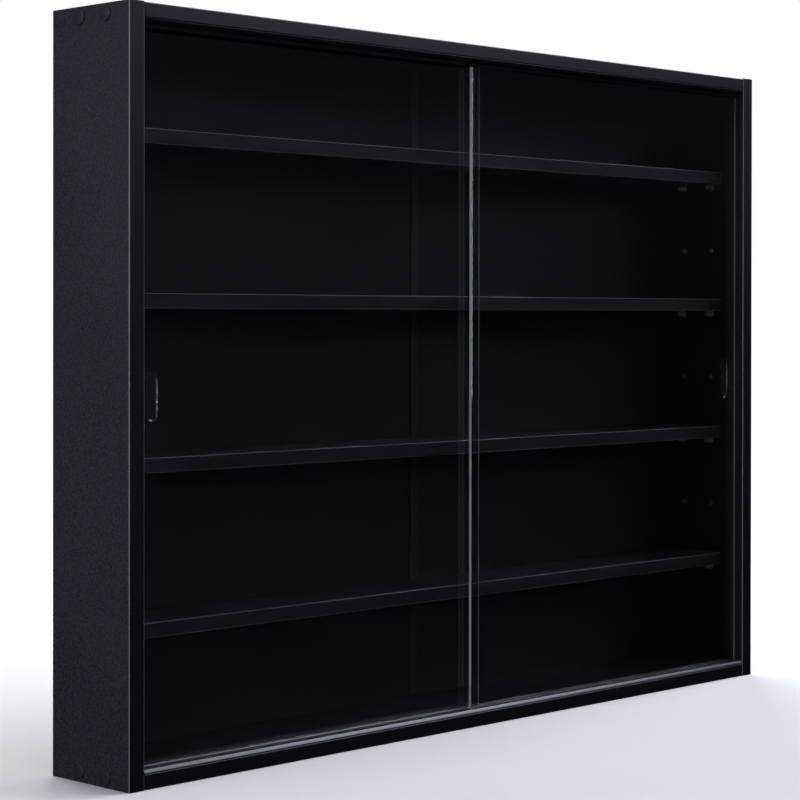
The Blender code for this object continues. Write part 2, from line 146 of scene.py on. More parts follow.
def joinInto(bm, loose):
    made = bpy.data.meshes.new("loose")
    loose.to_mesh(made)
    loose.free()
    bm.from_mesh(made)
    bpy.data.meshes.remove(made)


def addTurned(bm, profile, sides, place=Matrix.Identity(4)):
    # spins a (distance along X, radius) profile that starts and ends on the X axis
    turned = bmesh.new()
    verts = [turned.verts.new((along, 0, radius)) for along, radius in profile]
    edges = [turned.edges.new(pair) for pair in zip(verts, verts[1:])]
    bmesh.ops.spin(turned, geom=verts + edges, cent=(0, 0, 0), axis=(1, 0, 0), angle=math.tau, steps=sides,
            use_merge=True)
    bmesh.ops.remove_doubles(turned, verts=turned.verts, dist=0.001 * mm)
    bmesh.ops.recalc_face_normals(turned, faces=turned.faces)
    turned.transform(place)
    joinInto(bm, turned)


def freeze(piece):
    # turns what the modifiers give into a plain mesh
    graph = bpy.context.evaluated_depsgraph_get()
    plain = bpy.data.meshes.new_from_object(piece.evaluated_get(graph), preserve_all_data_layers=True,
            depsgraph=graph)
    piece.modifiers.clear()
    old = piece.data
    piece.data = plain
    bpy.data.meshes.remove(old)


def makeObject(name, bm, materials):
    bmesh.ops.recalc_face_normals(bm, faces=bm.faces)
    mesh = bpy.data.meshes.new(name)
    bm.to_mesh(mesh)
    bm.free()
    for material in materials:
        mesh.materials.append(material)
    piece = bpy.data.objects.new(name, mesh)
    bpy.context.scene.collection.objects.link(piece)
    return piece


def smoothOver(piece, angle=35):
    # rounds shade smoothly while the large faces stay flat to the eye
    piece.data.shade_smooth()
    piece.data.set_sharp_from_angle(angle=math.radians(angle))
    piece.modifiers.new("flatFaces", "WEIGHTED_NORMAL").keep_sharp = True
    freeze(piece)


def makePiece(name, bm, materials, arris=0.0, segments=3, cutter=None, cutterFinish=1):
    # arris is the radius on the sharp edges; the cutter's faces take material number cutterFinish
    piece = makeObject(name, bm, materials)
    if arris:
        bevel = piece.modifiers.new("arris", "BEVEL")
        bevel.width = arris
        bevel.segments = segments
        bevel.limit_method = "ANGLE"
        bevel.angle_limit = math.radians(40)
        freeze(piece)
    if cutter is not None:
        tool = makeObject(name + "_cutter", cutter, materials)
        for face in tool.data.polygons:
            face.material_index = cutterFinish
        cut = piece.modifiers.new("cut", "BOOLEAN")
        cut.operation = "DIFFERENCE"
        cut.solver = "EXACT"
        cut.object = tool
        freeze(piece)
        bpy.data.objects.remove(tool, do_unlink=True)
    smoothOver(piece)
    return piece


facing = 0.9       # a face looks along an axis when this much of its normal does


def paintFaces(piece, rule):
    # rule takes a face's centre and normal and gives its material number, or None to leave it
    for face in piece.data.polygons:
        number = rule(face.center, face.normal)
        if number is not None:
            face.material_index = number


def settle(piece, nodes=(), body="cabinet"):
    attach(piece, body)
    if nodes:
        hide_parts(*nodes)


# camera, light and floor

camera = {
    "place": (-1.4721, -1.3803, 0.3610),
    "heading": 45.67,          # degrees from +Y towards +X
    "tilt": -0.35,
    "roll": 0.07,
    "lens": 101.3,
    "sensor": 36,
    "shift": -0.0875,          # looks a little lower while the uprights stay upright
    "farthest": 50,
}


def buildCamera():
    data = bpy.data.cameras.new("camera")
    data.lens = camera["lens"]
    data.sensor_width = camera["sensor"]
    data.shift_y = camera["shift"]
    data.clip_end = camera["farthest"]
    eye = bpy.data.objects.new("camera", data)
    turn = (Matrix.Rotation(math.radians(-camera["heading"]), 4, "Z")
            @ Matrix.Rotation(math.radians(90 + camera["tilt"]), 4, "X")
            @ Matrix.Rotation(math.radians(camera["roll"]), 4, "Z"))
    eye.matrix_world = Matrix.Translation(camera["place"]) @ turn
    bpy.context.scene.collection.objects.link(eye)
    bpy.context.scene.camera = eye


# each softbox: place, point it faces, width and height in metres, watts, colour
softboxes = {
    "leftSoftbox": ((-3.0, 0.62, 0.7), (-0.4, 0, 0.3), (1.3, 1.3), 28, "#f0eeff"),
    "rightHighSoftbox": ((2.3, -1.75, 2.0), (0, 0, 0.45), (1.5, 1.1), 34, "#dde8ff"),
    "edgeSoftbox": ((2.4, -0.4, 2.6), (0, 0, 0.1), (1.6, 1.4), 60, "#f4f7ff"),
    "frontStrip": ((-2.3, -2.4, 0.9), (-0.1, 0, 0.3), (0.4, 1.5), 9, "#f6faff"),
    "pullStrip": ((-0.95, -3.0, 0.5), (0, 0, 0.3), (0.3, 1.0), 8, "#ffffff"),     # glints in pulls and pins
    "overheadSoftbox": ((0.0, -0.7, 2.7), (0, -0.1, 0), (2.0, 1.4), 18, "#f8f8ff"),
    "rearMiddleSoftbox": ((0.45, 3.1, 1.5), (0, 0, 0.3), (1.5, 1.5), 45, "#ffffff"),
    "rearRightSoftbox": ((2.2, 2.5, 1.5), (0.2, 0, 0.3), (1.6, 1.6), 45, "#ffffff"),
}

studio = {
    "backdropLevel": 1.0,      # what the camera sees behind the cabinet
    "fillLevel": 0.14,         # even light on rough surfaces
    "mirrorLow": 0.002,        # what shiny surfaces find between the softboxes, near the floor
    "mirrorHigh": 0.12,        # and higher up
    "mirrorRise": (-0.02, 0.40),   # the sines of the elevations between which it rises
    "mirrorColour": "#e2e2ff",
    "floorRadius": 9.0,
    "floorColour": "#f3f3f1",
    "floorRoughness": 0.8,
    "fadeStart": 0.7,          # the floor turns into the backdrop between these distances
    "fadeEnd": 2.2,
}


def buildLights():
    for name, (place, aim, size, watts, colour) in softboxes.items():
        data = bpy.data.lights.new(name, "AREA")
        data.shape = "RECTANGLE"
        data.size, data.size_y = size
        data.energy = watts
        data.color = linear(colour)[:3]
        lamp = bpy.data.objects.new(name, data)
        lamp.location = place
        lamp.rotation_euler = (Vector(aim) - Vector(place)).to_track_quat("-Z", "Y").to_euler()
        bpy.context.scene.collection.objects.link(lamp)


def buildWorld():
    world = bpy.data.worlds.new("studioRoom")
    bpy.context.scene.world = world
    world.use_nodes = True
    tree = world.node_tree
    tree.nodes.clear()
    rays = addNode(tree, "ShaderNodeLightPath")
    way = addNode(tree, "ShaderNodeTexCoord")
    height = addNode(tree, "ShaderNodeSeparateXYZ", {0: way.outputs["Generated"]})
    lowest, highest = studio["mirrorRise"]
    mirror = addNode(tree, "ShaderNodeMapRange", {
        "Value": height.outputs["Z"], "From Min": lowest, "From Max": highest, "To Min": studio["mirrorLow"],
        "To Max": studio["mirrorHigh"]}, interpolation_type="SMOOTHSTEP")
    fill = addNode(tree, "ShaderNodeMix", {
        0: rays.outputs["Is Diffuse Ray"], 2: mirror.outputs[0], 3: studio["fillLevel"]}, data_type="FLOAT")
    level = addNode(tree, "ShaderNodeMix", {
        0: rays.outputs["Is Camera Ray"], 2: fill.outputs[0], 3: studio["backdropLevel"]}, data_type="FLOAT")
    tint = addNode(tree, "ShaderNodeMix", {
        0: rays.outputs["Is Camera Ray"], 6: linear(studio["mirrorColour"]), 7: linear("#ffffff")},
        data_type="RGBA")
    light = addNode(tree, "ShaderNodeBackground", {"Color": tint.outputs[2], "Strength": level.outputs[0]})
    addNode(tree, "ShaderNodeOutputWorld", {"Surface": light.outputs[0]})


def buildFloor():
    bm = bmesh.new()
    bmesh.ops.create_circle(bm, cap_ends=True, radius=studio["floorRadius"], segments=64)
    material, tree, where, shader = startMaterial("palePaintedFloor")
    shader.inputs["Base Color"].default_value = linear(studio["floorColour"])
    shader.inputs["Roughness"].default_value = studio["floorRoughness"]
    away = addNode(tree, "ShaderNodeVectorMath", {0: where}, operation="LENGTH")
    fade = addNode(tree, "ShaderNodeMapRange", {
        "Value": away.outputs["Value"], "From Min": studio["fadeStart"], "From Max": studio["fadeEnd"]},
        interpolation_type="SMOOTHSTEP")
    glow = addNode(tree, "ShaderNodeEmission", {"Strength": studio["backdropLevel"]})
    mixed = addNode(tree, "ShaderNodeMixShader", {
        0: fade.outputs[0], 1: shader.outputs[0], 2: glow.outputs[0]})
    tree.links.new(mixed.outputs[0], outputOf(tree).inputs["Surface"])
    floor = makeObject("floor", bm, [material])
    floor.visible_glossy = False      # a white floor would fill the black glass with glare
    floor.visible_diffuse = False
    floor.visible_transmission = False


buildCamera()
buildLights()
buildWorld()
buildFloor()
bpy.context.scene.view_settings.view_transform = "Standard"
print("camera, light and floor ready")


# materials

def melamineBoard():
    # melamine-faced chipboard pressed against a pebbled plate: near-black satin with a fine grain that
    # glitters softly; the real grain is about 0.4 mm and is drawn at 1.4 mm so that it shows
    material, tree, where, shader = startMaterial("pebbledBlackMelamine")
    grain = addNode(tree, "ShaderNodeTexNoise", {
        "Vector": where, "Scale": perMetre(1.4), "Detail": 3.0, "Roughness": 0.6})
    clouds = addNode(tree, "ShaderNodeTexNoise", {"Vector": where, "Scale": perMetre(70), "Detail": 2.0})
    colour = addNode(tree, "ShaderNodeValToRGB", {
        "Fac": grain.outputs["Fac"]}, stops=[(0.40, "#0d0c11"), (0.62, "#2d2b35")])
    gloss = addNode(tree, "ShaderNodeMath", {
        0: grain.outputs["Fac"], 1: clouds.outputs["Fac"]}, operation="ADD")
    rough = addNode(tree, "ShaderNodeMapRange", {
        "Value": gloss.outputs[0], "From Min": 0.7, "From Max": 1.3, "To Min": 0.44, "To Max": 0.58})
    bump = addNode(tree, "ShaderNodeBump", {
        "Height": grain.outputs["Fac"], "Strength": 0.9, "Distance": 0.15 * mm})
    feedShader(tree, shader, colour.outputs["Color"], rough.outputs[0], bump.outputs[0])
    return material


def edgeBand(name, stretch, dark, light, roughLow, roughHigh):
    # ABS edging, scraped and buffed after gluing: smoother than the board's face, with faint lines along it,
    # and a painted highlight on its rounded corners: they turn pale grey where the light would catch them
    material, tree, where, shader = startMaterial(name, stretch)
    lines = addNode(tree, "ShaderNodeTexNoise", {"Vector": where, "Scale": perMetre(0.7), "Detail": 2.0})
    # marks the corner faces that take the painted highlight
    cornerHighlight = addNode(tree, "ShaderNodeAttribute", attribute_name="paintedHighlightCorner")
    colour = addNode(tree, "ShaderNodeValToRGB", {
        "Fac": lines.outputs["Fac"]}, stops=[(0.25, dark), (0.80, light)])
    # painted highlight: where the mask is 1 the colour turns to a pale grey, #7a797f
    tint = addNode(tree, "ShaderNodeMix", {
        0: cornerHighlight.outputs["Fac"], 6: colour.outputs["Color"], 7: linear("#7a797f")}, data_type="RGBA")
    rough = addNode(tree, "ShaderNodeMapRange", {
        "Value": lines.outputs["Fac"], "To Min": roughLow, "To Max": roughHigh})
    bump = addNode(tree, "ShaderNodeBump", {
        "Height": lines.outputs["Fac"], "Strength": 0.1, "Distance": 0.02 * mm})
    feedShader(tree, shader, tint.outputs[2], rough.outputs[0], bump.outputs[0])
    return material


def chipboardCore():
    # raw particle board where a saw or drill opened it: tan chips of 1 to 2 mm with dark gaps, no gloss
    material, tree, where, shader = startMaterial("sawnParticleBoard")
    chips = addNode(tree, "ShaderNodeTexVoronoi", {
        "Vector": where, "Scale": perMetre(1.6), "Randomness": 1.0})
    fibres = addNode(tree, "ShaderNodeTexNoise", {"Vector": where, "Scale": perMetre(0.5), "Detail": 3.0})
    shade = addNode(tree, "ShaderNodeSeparateColor", {"Color": chips.outputs["Color"]})
    mixed = addNode(tree, "ShaderNodeMath", {
        0: shade.outputs[0], 1: fibres.outputs["Fac"]}, operation="MULTIPLY")
    colour = addNode(tree, "ShaderNodeValToRGB", {
        "Fac": mixed.outputs[0]}, stops=[(0.02, "#5c4128"), (0.55, "#d0ac7a"), (0.25, "#a27f53")])
    bump = addNode(tree, "ShaderNodeBump", {
        "Height": mixed.outputs[0], "Strength": 0.8, "Distance": 0.3 * mm})
    shader.inputs["Roughness"].default_value = 0.9
    feedShader(tree, shader, colour.outputs["Color"], None, bump.outputs[0])
    return material


def lacqueredHardboard():
    # hardboard with a rolled-on black lacquer: smooth satin with a slight orange peel
    material, tree, where, shader = startMaterial("rolledBlackLacquer")
    peel = addNode(tree, "ShaderNodeTexNoise", {"Vector": where, "Scale": perMetre(1.8), "Detail": 2.0})
    clouds = addNode(tree, "ShaderNodeTexNoise", {"Vector": where, "Scale": perMetre(45), "Detail": 3.0})
    colour = addNode(tree, "ShaderNodeValToRGB", {
        "Fac": clouds.outputs["Fac"]}, stops=[(0.3, "#08080c"), (0.7, "#0f0e14")])
    rough = addNode(tree, "ShaderNodeMapRange", {
        "Value": peel.outputs["Fac"], "To Min": 0.38, "To Max": 0.56})
    bump = addNode(tree, "ShaderNodeBump", {
        "Height": peel.outputs["Fac"], "Strength": 0.3, "Distance": 0.05 * mm})
    feedShader(tree, shader, colour.outputs["Color"], rough.outputs[0], bump.outputs[0])
    return material


def screenBackHardboard():
    # the unlacquered side of hardboard: brown felted fibre with the print of the press's wire screen,
    # whose real mesh of about 1 mm is drawn at 4.4 mm so that it shows
    material, tree, where, shader = startMaterial("screenPressedHardboard")
    mesh = perMetre(4.4) / 3.15       # a wave texture has 3.15 waves in one unit at scale 1
    waves = [addNode(tree, "ShaderNodeTexWave", {
        "Vector": where, "Scale": mesh, "Distortion": 0.6}, bands_direction=direction) for direction in "XZ"]
    screen = addNode(tree, "ShaderNodeMath", {
        0: waves[0].outputs["Fac"], 1: waves[1].outputs["Fac"]}, operation="MULTIPLY")
    felt = addNode(tree, "ShaderNodeTexNoise", {"Vector": where, "Scale": perMetre(5), "Detail": 5.0})
    colour = addNode(tree, "ShaderNodeValToRGB", {
        "Fac": felt.outputs["Fac"]}, stops=[(0.30, "#4a3523"), (0.72, "#74583b")])
    dark = addNode(tree, "ShaderNodeMapRange", {"Value": screen.outputs[0], "To Min": 0.72, "To Max": 1.0})
    tinted = addNode(tree, "ShaderNodeVectorMath", {
        0: colour.outputs["Color"], 3: dark.outputs[0]}, operation="SCALE")
    bump = addNode(tree, "ShaderNodeBump", {
        "Height": screen.outputs[0], "Strength": 0.5, "Distance": 0.15 * mm})
    shader.inputs["Roughness"].default_value = 0.85
    feedShader(tree, shader, tinted.outputs[0], None, bump.outputs[0])
    return material


def extrudedPlastic(name, stretch, colours, roughness):
    # PVC pulled through a die: an even black with a soft shine and hairlines along its length
    material, shader = grainedMaterial(name, stretch, grain=0.35, detail=2.0, colours=colours,
            roughness=roughness, bumpStrength=0.15, bumpDepth=0.02 * mm)
    shader.inputs["IOR"].default_value = 1.53
    return material


def floatGlass():
    # clear float glass: flat and colourless through its 4 mm, green along its length, with ground edges that
    # scatter light and a finger pull polished after grinding; the faces keep a trace of wiping in their gloss
    material, tree, where, shader = startMaterial("clearFloatGlass")
    edge = addNode(tree, "ShaderNodeAttribute", attribute_name="groundEdge")
    pull = addNode(tree, "ShaderNodeAttribute", attribute_name="polishedPull")
    wiping = addNode(tree, "ShaderNodeTexNoise", {"Vector": where, "Scale": perMetre(90), "Detail": 4.0})
    faces = addNode(tree, "ShaderNodeMapRange", {
        "Value": wiping.outputs["Fac"], "From Min": 0.4, "From Max": 0.8, "To Min": 0.0, "To Max": 0.02})
    edgeRough = addNode(tree, "ShaderNodeMath", {
        0: edge.outputs["Fac"], 1: 0.55, 2: faces.outputs[0]}, operation="MULTIPLY_ADD")
    rough = addNode(tree, "ShaderNodeMath", {
        0: pull.outputs["Fac"], 1: 0.14, 2: edgeRough.outputs[0]}, operation="MULTIPLY_ADD")
    scattered = addNode(tree, "ShaderNodeMath", {
        0: edge.outputs["Fac"], 1: -0.70, 2: 1.0}, operation="MULTIPLY_ADD")
    tint = addNode(tree, "ShaderNodeMix", {
        0: edge.outputs["Fac"], 6: linear("#ffffff"), 7: linear("#dcecee")}, data_type="RGBA")
    shader.inputs["IOR"].default_value = 1.52
    feedShader(tree, shader, tint.outputs[2], rough.outputs[0], None)
    tree.links.new(scattered.outputs[0], shader.inputs["Transmission Weight"])
    body = addNode(tree, "ShaderNodeVolumeAbsorption", {"Color": (0.30, 0.76, 0.70, 1), "Density": 9.0})
    tree.links.new(body.outputs[0], outputOf(tree).inputs["Volume"])
    return material


def platedSteel(name, grain, colours, roughness, stretch=(1, 1, 1)):
    # steel under a thin plating: mirror-like in patches, dulled by the grain of turning or rolling beneath
    material, shader = grainedMaterial(name, stretch, grain, detail=3.0, colours=colours,
            roughness=roughness, bumpStrength=0.12, bumpDepth=0.02 * mm)
    shader.inputs["Metallic"].default_value = 1.0
    return material


def mouldedCap():
    # polyethylene moulded in a spark-eroded die: black like the board, a touch smoother, with a fine texture
    return grainedMaterial("mouldedPolyethylene", (1, 1, 1), grain=0.6, detail=2.0,
            colours=("#1c1c20", "#29292e"), roughness=(0.36, 0.5), bumpStrength=0.3, bumpDepth=0.04 * mm)[0]


alongZ, alongX = (1, 1, 0.03), (0.03, 1, 1)      # stretches the lines of a band along one axis
boardFinish = melamineBoard()
uprightBandFinish = edgeBand("scrapedBandUprightPaintedHighlight", alongZ, "#08090d", "#111217", 0.28, 0.38)
levelBandFinish = edgeBand("scrapedBandLevel", alongX, "#08090d", "#111217", 0.28, 0.38)
# the shelves' black edging is given a lighter grey than the carcase bands: painted light for the shelf fronts
# lit through the glass
shelfBandFinish = edgeBand("matShelfBandPaintedLight", alongX, "#191c20", "#292d32", 0.36, 0.46)
coreFinish = chipboardCore()
lacquerFinish = lacqueredHardboard()
screenFinish = screenBackHardboard()
trackFinish = extrudedPlastic("extrudedTrackVinyl", (0.01, 1, 1), ("#0f0f14", "#16171d"), (0.24, 0.32))
stripFinish = extrudedPlastic("extrudedStripVinyl", (1, 1, 0.01), ("#17171b", "#222327"), (0.34, 0.46))
glassFinish = floatGlass()
pinFinish = platedSteel("turnedNickelPlate", 0.3, ("#cbc5b8", "#ece7dc"), (0.28, 0.46), (1, 0.06, 0.06))
screwFinish = platedSteel("headedZincPlate", 1.2, ("#9ea3aa", "#c9ccd2"), (0.26, 0.44))
plateFinish = platedSteel("rolledZincSheet", 6, ("#a6aab0", "#cdd0d4"), (0.24, 0.42))
nailFinish = platedSteel("drawnBrightSteel", 0.8, ("#8f8c86", "#b8b5ae"), (0.25, 0.40))
capFinish = mouldedCap()
print("materials ready")


# carcase boards and their edge bands

board = {
    "bandThickness": 1.0 * mm,
    "bandRadius": 0.9 * mm,        # on the two front corners of a band
    "bandArris": 0.12 * mm,
    "cornerSlant": 0.25,           # a face of the rounded corner points this far both ways
    "arris": 0.35 * mm,            # on the faces' edges
    "jointGap": 0.03 * mm,         # hairline between a board and its band
    "rebateWidth": 7.3 * mm,       # room for the back panels, at the rear of the sides
    "holePitch": 64 * mm,
    "holeDepth": 8.3 * mm,
    "holePoint": 1.2 * mm,         # cone left by the drill
    "holeDiameter": 5 * mm,
    "overcut": 1 * mm,             # how far a cutter stands out of what it cuts
    "trackSeat": 3.3 * mm,         # how deep the tracks are let into the top and bottom panels
    "seatGap": 0.3 * mm,
    "tolerance": 0.1 * mm,         # for telling which faces lie on a plane
    "holeSides": 24,
}

sideLow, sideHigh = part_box("side_panel_right")
topLow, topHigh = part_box("top_panel")
bottomLow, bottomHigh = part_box("bottom_panel")
trackLow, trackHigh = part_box("bottom_track")
backLow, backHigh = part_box("back_panel_right")
front, rear = sideLow.y, sideHigh.y
innerX, outerX = sideLow.x, sideHigh.x
bandRear = front + board["bandThickness"]

carcaseScrew = {
    "shankDiameter": 6.8 * mm,
    "coreDiameter": 4.8 * mm,
    "headHeight": 3.5 * mm,
    "socketDiameter": 4.4 * mm,
    "socketDepth": 3.4 * mm,
    "threadPitch": 3.0 * mm,
    "threadStart": 12 * mm,
    "taperStart": 2 * mm,          # before the thread
    "taperEnd": 1 * mm,
    "bareTip": 2.2 * mm,           # beyond the thread
    "tipRadius": 0.4 * mm,
    "headChamfer": 0.2 * mm,
    "headRim": 0.9 * mm,
    "sides": 24,
    "boreRoom": 0.25 * mm,         # round the head and the shank, in the side
    "headBoreDepth": 1.4 * mm,
    "boreTaperEnd": 4 * mm,
    "boreDepth": 16 * mm,
}


def addBand(name, low, high, axis, finish):
    # low and high are the corners of the band; its front long edges are rounded
    radius = board["bandRadius"]
    if axis == "Z":
        left = arcPoints((low[0] + radius, low[1] + radius), radius, 180, 270)
        right = arcPoints((high[0] - radius, low[1] + radius), radius, 270, 360)
        outline = left + right + [(high[0], high[1]), (low[0], high[1])]
    else:
        under = arcPoints((low[1] + radius, low[2] + radius), radius, 270, 180)
        over = arcPoints((low[1] + radius, high[2] - radius), radius, 180, 90)
        outline = under + over + [(high[1], high[2]), (high[1], low[2])]
    start, end = (low[2], high[2]) if axis == "Z" else (low[0], high[0])
    bm = bmesh.new()
    addExtrusion(bm, outline, axis, start, end)
    band = makePiece(name, bm, [finish], arris=board["bandArris"], segments=2)
    across, slant = (0 if axis == "Z" else 2), board["cornerSlant"]
    pale = finish is not levelBandFinish      # the bands of the top and bottom get no painted highlight
    # painted highlight: 1 on the faces in the middle of each rounded front corner, which face forwards and
    # sideways
    cornerHighlight = [float(pale and face.normal.y < -slant and abs(face.normal[across]) > slant)
            for face in band.data.polygons]
    band.data.attributes.new("paintedHighlightCorner", "FLOAT", "FACE").data.foreach_set("value", cornerHighlight)
    settle(band)


def sideHoles(sign):
    cutter = bmesh.new()
    radius, depth, over = board["holeDiameter"] / 2, board["holeDepth"], board["overcut"]
    profile = [(-over, 0), (-over, radius), (depth - board["holePoint"], radius), (depth, 0)]
    pinLow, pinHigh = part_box("shelf_pin_1_right_front")
    rearLow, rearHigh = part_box("shelf_pin_1_right_rear")
    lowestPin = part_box("shelf_pin_4_right_front")
    firstRow = (lowestPin[0].z + lowestPin[1].z) / 2
    rows = round(((pinLow.z + pinHigh.z) / 2 - firstRow) / board["holePitch"]) + 1
    for column in ((pinLow.y + pinHigh.y) / 2, (rearLow.y + rearHigh.y) / 2):
        for row in range(rows):
            spot = (sign * innerX, column, firstRow + row * board["holePitch"])
            turn = Matrix.Rotation(0 if sign > 0 else math.pi, 4, "Z")
            addTurned(cutter, profile, board["holeSides"], Matrix.Translation(spot) @ turn)
    for level in ("bottom", "top"):
        for depthName in ("front", "rear"):
            screwLow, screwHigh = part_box("carcase_screw_" + level + "_right_" + depthName)
            middle = (screwLow + screwHigh) / 2
            wide = (screwHigh.z - screwLow.z) / 2 + carcaseScrew["boreRoom"]
            narrow = carcaseScrew["shankDiameter"] / 2 + carcaseScrew["boreRoom"]
            deep = carcaseScrew["boreDepth"]
            hole = [(-over, 0), (-over, wide), (carcaseScrew["headBoreDepth"], wide),
                    (carcaseScrew["boreTaperEnd"], narrow), (deep, narrow), (deep, 0)]
            turn = Matrix.Rotation(math.pi if sign > 0 else 0, 4, "Z")
            place = Matrix.Translation((sign * outerX, middle.y, middle.z)) @ turn
            addTurned(cutter, hole, board["holeSides"], place)
    return cutter


def buildSides():
    rebate = innerX + board["rebateWidth"]
    seat = backLow.y - board["seatGap"]
    for label, sign in (("left", -1), ("right", 1)):
        corners = [(outerX, bandRear), (innerX, bandRear), (innerX, seat), (rebate, seat), (rebate, rear),
                (outerX, rear)]
        outline = [(sign * x, y) for x, y in corners]
        bm = bmesh.new()
        addExtrusion(bm, outline, "Z", sideLow.z, sideHigh.z)
        side = makePiece("side_board_" + label, bm, [boardFinish, coreFinish], board["arris"], 3,
                cutter=sideHoles(sign))

        def openedByTheSaw(centre, normal):
            behind = centre.y > seat - board["tolerance"]
            return 1 if behind and (normal.y > facing or normal.x * sign < -facing) else None

        paintFaces(side, openedByTheSaw)
        settle(side, ["side_panel_" + label])
        low = (min(sign * innerX, sign * outerX), front, sideLow.z)
        high = (max(sign * innerX, sign * outerX), bandRear - board["jointGap"], sideHigh.z)
        addBand("side_band_" + label, low, high, "Z", uprightBandFinish)


def buildTopAndBottom():
    for name, low, high, up in (("top", topLow, topHigh, -1), ("bottom", bottomLow, bottomHigh, 1)):
        inner, outer = (low.z, high.z) if up < 0 else (high.z, low.z)
        seat = inner - up * board["trackSeat"]
        seatRear = trackHigh.y + board["seatGap"]
        outline = [(bandRear, outer), (bandRear, seat), (seatRear, seat), (seatRear, inner), (high.y, inner),
                (high.y, outer)]
        bm = bmesh.new()
        addExtrusion(bm, outline, "X", low.x, high.x)
        panel = makePiece(name + "_board", bm, [boardFinish, coreFinish], board["arris"], 3)

        def openedByTheSaw(centre, normal):
            inSeat = centre.y < seatRear and abs(centre.z - seat) < board["tolerance"]
            return 1 if normal.y > facing or abs(normal.x) > facing or inSeat else None

        paintFaces(panel, openedByTheSaw)
        settle(panel, [name + "_panel"])
        bandLow = (low.x, front, min(seat, outer))
        bandHigh = (high.x, bandRear - board["jointGap"], max(seat, outer))
        addBand(name + "_band", bandLow, bandHigh, "X", levelBandFinish)


buildSides()
buildTopAndBottom()
print("carcase boards ready")


# shelves

shelf = {
    "count": 4,
    "arris": 0.3 * mm,
}


def buildShelves():
    for number in range(1, shelf["count"] + 1):
        node = "shelf_" + str(number)
        low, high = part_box(node)
        bandEnd = low.y + board["bandThickness"]
        bm = bmesh.new()
        addBox(bm, (low.x, bandEnd, low.z), high)
        piece = makePiece(node + "_board", bm, [boardFinish, coreFinish], shelf["arris"], 3)
        paintFaces(piece, lambda centre, normal: 1 if normal.y > facing or abs(normal.x) > facing else None)
        settle(piece, [node])
        addBand(node + "_band", low, (high.x, bandEnd - board["jointGap"], high.z), "X", shelfBandFinish)


buildShelves()
print("shelves ready")


# back panels and the strip between them

hanger = {
    "cornerRadius": 4 * mm,
    "keyholeDrop": 3.25 * mm,      # from the screws down to the middle of the round opening
    "keyholeDiameter": 7.5 * mm,
    "slotWidth": 4.2 * mm,
    "slotLength": 4 * mm,
    "roomBehind": 0.3 * mm,        # the back panel's opening around the keyhole
    "arris": 0.2 * mm,
    "screwHead": 5.6 * mm,
    "screwHeadHeight": 1.6 * mm,
    "screwDiameter": 3.0 * mm,
    "screwLength": 14 * mm,
    "screwFit": 0.25 * mm,
    "neckLength": 3 * mm,          # thicker than the core, up to the thread
    "threadStart": 3.6 * mm,
    "threadPitch": 1.3 * mm,
    "bareTip": 2.6 * mm,           # beyond the thread
    "pointLength": 3 * mm,
    "recessArm": 1.55 * mm,        # half the width of the cross in the head
    "recessDepth": 1.3 * mm,
    "recessHalfWidth": 0.32 * mm,
    "recessTaper": 0.4,            # of the arm's length, at the bottom of the recess
    "headChamfer": 0.1 * mm,
    "headRim": 0.15 * mm,
    "sides": 24,
    "threadSides": 16,
}

back = {
    "arris": 0.15 * mm,
}

strip = {
    "wall": 0.8 * mm,
    "lipRadius": 0.3 * mm,
    "arris": 0.08 * mm,
}


def middleOf(node):
    low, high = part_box(node)
    return (low + high) / 2


def countersinkTool(cutter, spot):
    head = hanger["screwHead"] / 2 + hanger["screwFit"]
    shank = hanger["screwDiameter"] / 2 + hanger["screwFit"]
    over, length = board["overcut"], hanger["screwLength"]
    profile = [(-over, 0), (-over, head), (0, head), (hanger["screwHeadHeight"] + hanger["screwFit"], shank),
            (length, shank), (length, 0)]
    place = Matrix.Translation(spot) @ Matrix.Rotation(math.radians(-90), 4, "Z")
    addTurned(cutter, profile, board["holeSides"], place)


def buildBack():
    room = hanger["keyholeDiameter"] / 2 + hanger["roomBehind"]
    for label in ("left", "right"):
        low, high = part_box("back_panel_" + label)
        screw = middleOf("hanger_screw_" + label + "_outer")
        plate = middleOf("hanger_plate_" + label)
        keyholeZ = screw.z - hanger["keyholeDrop"]
        cutter = bmesh.new()
        slotTop = keyholeZ + hanger["slotLength"]
        addBox(cutter, (plate.x - room, low.y - mm, keyholeZ - room),
                (plate.x + room, high.y + mm, slotTop + room))
        for place in ("outer", "inner"):
            spot = middleOf("hanger_screw_" + label + "_" + place)
            countersinkTool(cutter, (spot.x, rear, spot.z))
        bm = bmesh.new()
        addBox(bm, low, high)
        panel = makePiece("back_board_" + label, bm, [lacquerFinish, screenFinish], back["arris"], 2,
                cutter=cutter)
        paintFaces(panel, lambda centre, normal: 0 if normal.y < -facing else 1)
        settle(panel, ["back_panel_" + label])


def buildStrip():
    low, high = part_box("back_joining_strip")
    wall, radius = strip["wall"], strip["lipRadius"]
    half = high.x
    web = wall / 2
    frontInner, rearInner = low.y + wall, high.y - wall
    outline = arcPoints((-half + radius, low.y + radius), radius, 180, 270, 4)
    outline += arcPoints((half - radius, low.y + radius), radius, 270, 360, 4)
    outline += [(half, frontInner), (web, frontInner), (web, rearInner), (half, rearInner)]
    outline += arcPoints((half - radius, high.y - radius), radius, 0, 90, 4)
    outline += arcPoints((-half + radius, high.y - radius), radius, 90, 180, 4)
    outline += [(-half, rearInner), (-web, rearInner), (-web, frontInner), (-half, frontInner)]
    bm = bmesh.new()
    addExtrusion(bm, outline, "Z", low.z, high.z)
    piece = makePiece("back_strip", bm, [stripFinish], strip["arris"], 2)
    settle(piece, ["back_joining_strip"])


buildBack()
buildStrip()
print("back ready")


# sliding-door tracks

